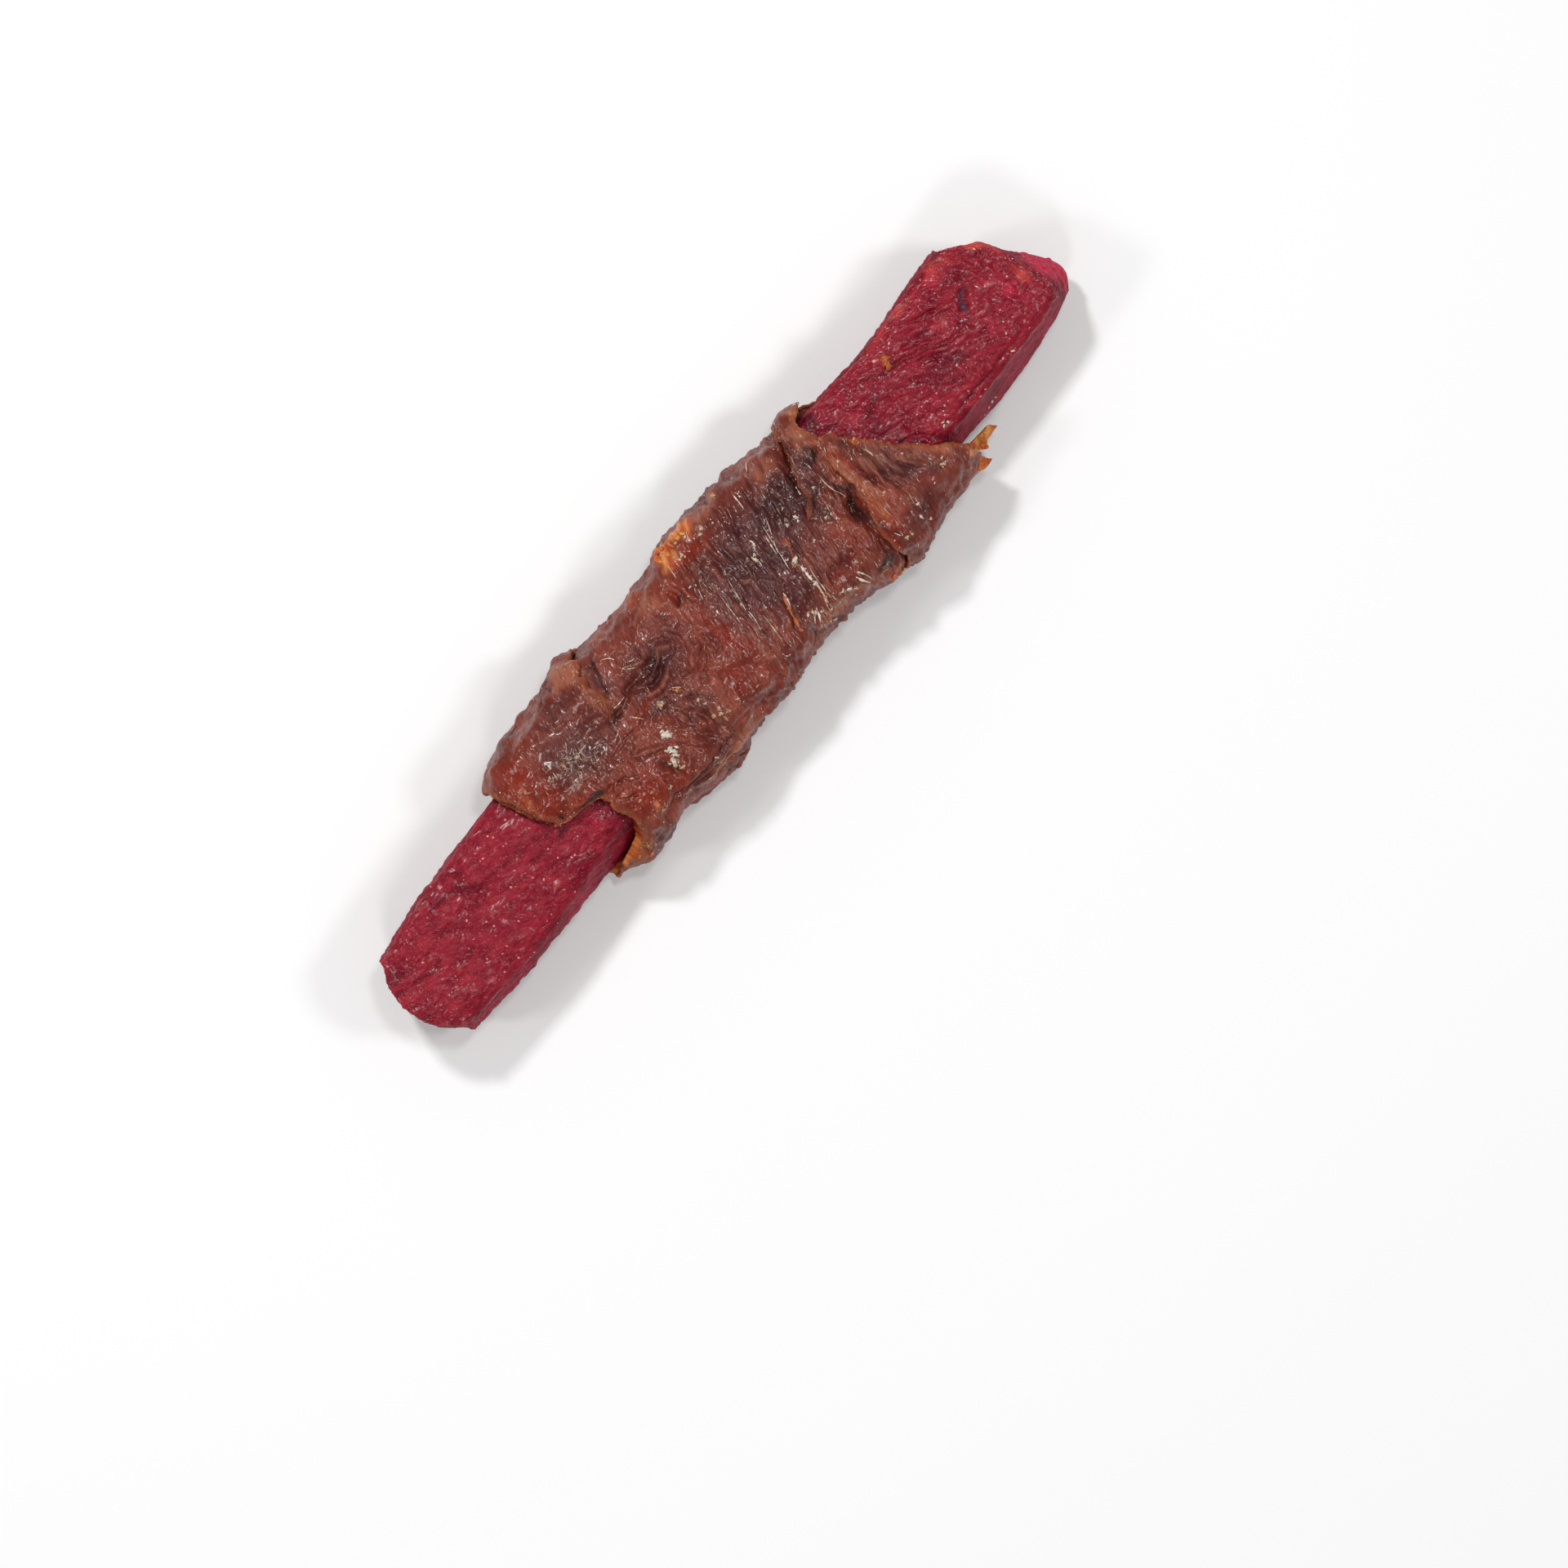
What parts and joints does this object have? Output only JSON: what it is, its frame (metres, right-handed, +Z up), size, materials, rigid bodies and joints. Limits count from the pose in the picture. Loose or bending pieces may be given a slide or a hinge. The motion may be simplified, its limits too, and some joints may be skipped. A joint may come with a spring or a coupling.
{
  "type": "duck and sweet potato dog chew",
  "caption": "Dried dog chew: a flat cut stick of purple sweet potato with a strip of dried duck meat wound tightly round its middle, the strip's pointed end lying over on top.",
  "frame": {"origin": "centre of the whole chew seen from above, on the table that it lies on", "axes": "+X along the stick towards the end that the picture shows, +Z up out of the side that the picture shows, +Y across the stick"},
  "size_m": [0.0837, 0.0183, 0.0119],
  "materials": {
    "sweet_potato": "glossy crimson dried potato, leathery, with darker purple patches and small sugar glints",
    "duck_meat": "semi-gloss brown dried meat with red-brown see-through places, pale fibres and amber fat"
  },
  "bodies": {
    "root": {"sweet_potato_stick": "sweet_potato", "duck_wrap": "duck_meat"}
  },
  "joints": []
}
